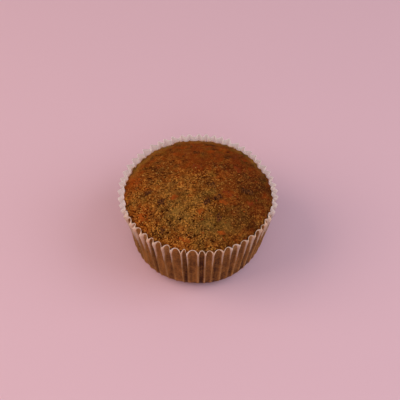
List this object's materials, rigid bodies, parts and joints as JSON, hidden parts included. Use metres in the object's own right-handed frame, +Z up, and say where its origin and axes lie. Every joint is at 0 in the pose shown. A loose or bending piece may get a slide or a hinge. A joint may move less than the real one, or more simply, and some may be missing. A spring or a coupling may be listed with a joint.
{
  "type": "carrot cupcake",
  "caption": "Plain carrot cupcake with a low, lumpy browned dome and shreds of carrot, in a pleated paper baking case.",
  "frame": {"origin": "centre of the flat base, on the surface that the cupcake stands on", "axes": "+Z up through the dome, +X to the right and +Y to the back of the view that shows it"},
  "size_m": [0.0653, 0.0645, 0.0376],
  "materials": {
    "carrot_sponge": "matt, grainy baked sponge, browned and flecked with orange carrot and dark nut",
    "greaseproof_paper": "thin greaseproof paper, off-white where bare and brown where the cake shows through"
  },
  "bodies": {
    "root": {"cake": "carrot_sponge", "paper_case": "greaseproof_paper"}
  },
  "joints": []
}
